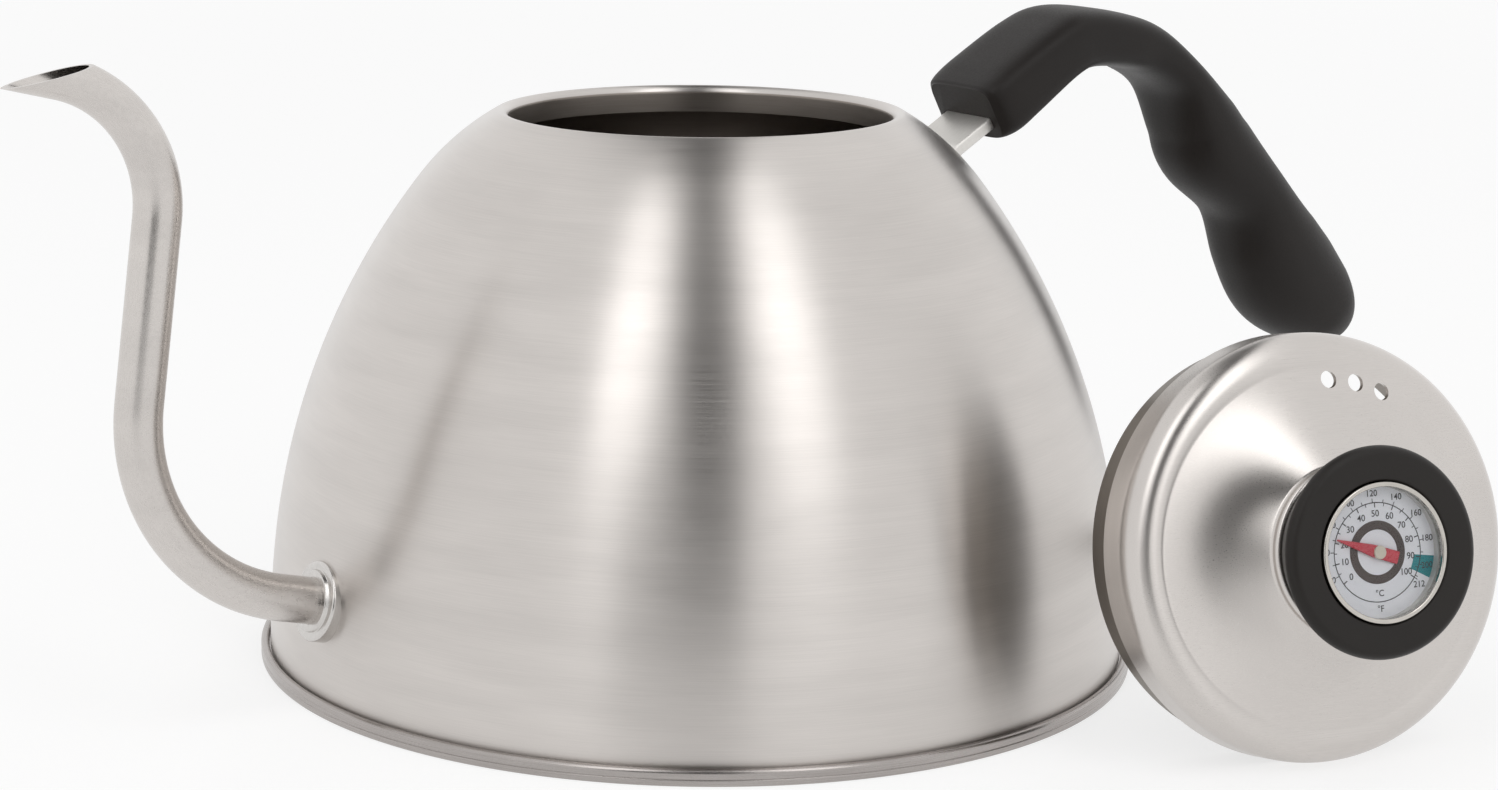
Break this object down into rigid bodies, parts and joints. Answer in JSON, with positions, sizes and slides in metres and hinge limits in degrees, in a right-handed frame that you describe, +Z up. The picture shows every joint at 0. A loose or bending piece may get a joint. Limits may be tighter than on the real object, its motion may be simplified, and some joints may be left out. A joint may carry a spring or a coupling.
{
  "type": "gooseneck kettle",
  "caption": "Steel pour-over kettle with a long curved spout and a black rear handle; its domed lid with a dial thermometer and probe stands beside it.",
  "frame": {"origin": "centre of the kettle's flat underside, on the surface it stands on", "axes": "-X towards the spout, +X towards the handle, -Y the side where the lid stands, +Z up"},
  "size_m": [0.3079, 0.2211, 0.1199],
  "materials": {
    "body_steel": "brushed round the axis",
    "base_steel": "satin, turned",
    "heat_plate_steel": "satin",
    "spout_steel": "fine satin",
    "strap_steel": "bright satin",
    "grip_black": "soft matte, slightly warm black",
    "screw_steel": "satin",
    "lid_steel": "brushed round the axis",
    "case_steel": "satin",
    "bezel_steel": "bright turned",
    "dial_white": "matte white enamel, printed",
    "gasket_pale": "matte silicone",
    "dial_glass": "clear and flat",
    "coil_metal": "dull",
    "bush_brass": "turned",
    "washer_silicone": "matte silicone",
    "spindle_steel": "ground",
    "needle_red": "gloss enamel",
    "hub_cream": "satin"
  },
  "bodies": {
    "kettle": {"body_shell": "body_steel", "base_pan": "base_steel", "heat_plate": "heat_plate_steel", "spout_tube": "spout_steel", "spout_collar": "spout_steel", "handle_strap": "strap_steel", "handle_grip": "grip_black", "grip_screw": "screw_steel"},
    "lid": {"lid_shell": "lid_steel", "lid_plug": "lid_steel", "knob_ring": "grip_black", "thermo_case": "case_steel", "bezel_ring": "bezel_steel", "dial_plate": "dial_white", "glass_gasket": "gasket_pale", "dial_glass": "dial_glass", "stem_tube": "case_steel", "stem_tip": "case_steel", "bimetal_coil": "coil_metal", "spindle_bush": "bush_brass", "seal_washer": "washer_silicone", "clamp_nut": "case_steel"},
    "needle": {"needle_spindle": "spindle_steel", "needle_pointer": "needle_red", "needle_hub": "hub_cream"}
  },
  "joints": [
    {"name": "lid_lift", "type": "slide", "parent": "kettle", "child": "lid", "axis": [0, 0, 1], "range_m": [0, 0.15]},
    {"name": "needle_turn", "type": "hinge", "parent": "lid", "child": "needle", "pos_m": [0.0555, -0.105, 0.03633], "axis": [0.212, 0.9532, -0.2154], "range_deg": [-53.75, 196.25], "stiffness_Nm_per_rad": 0.00002}
  ]
}
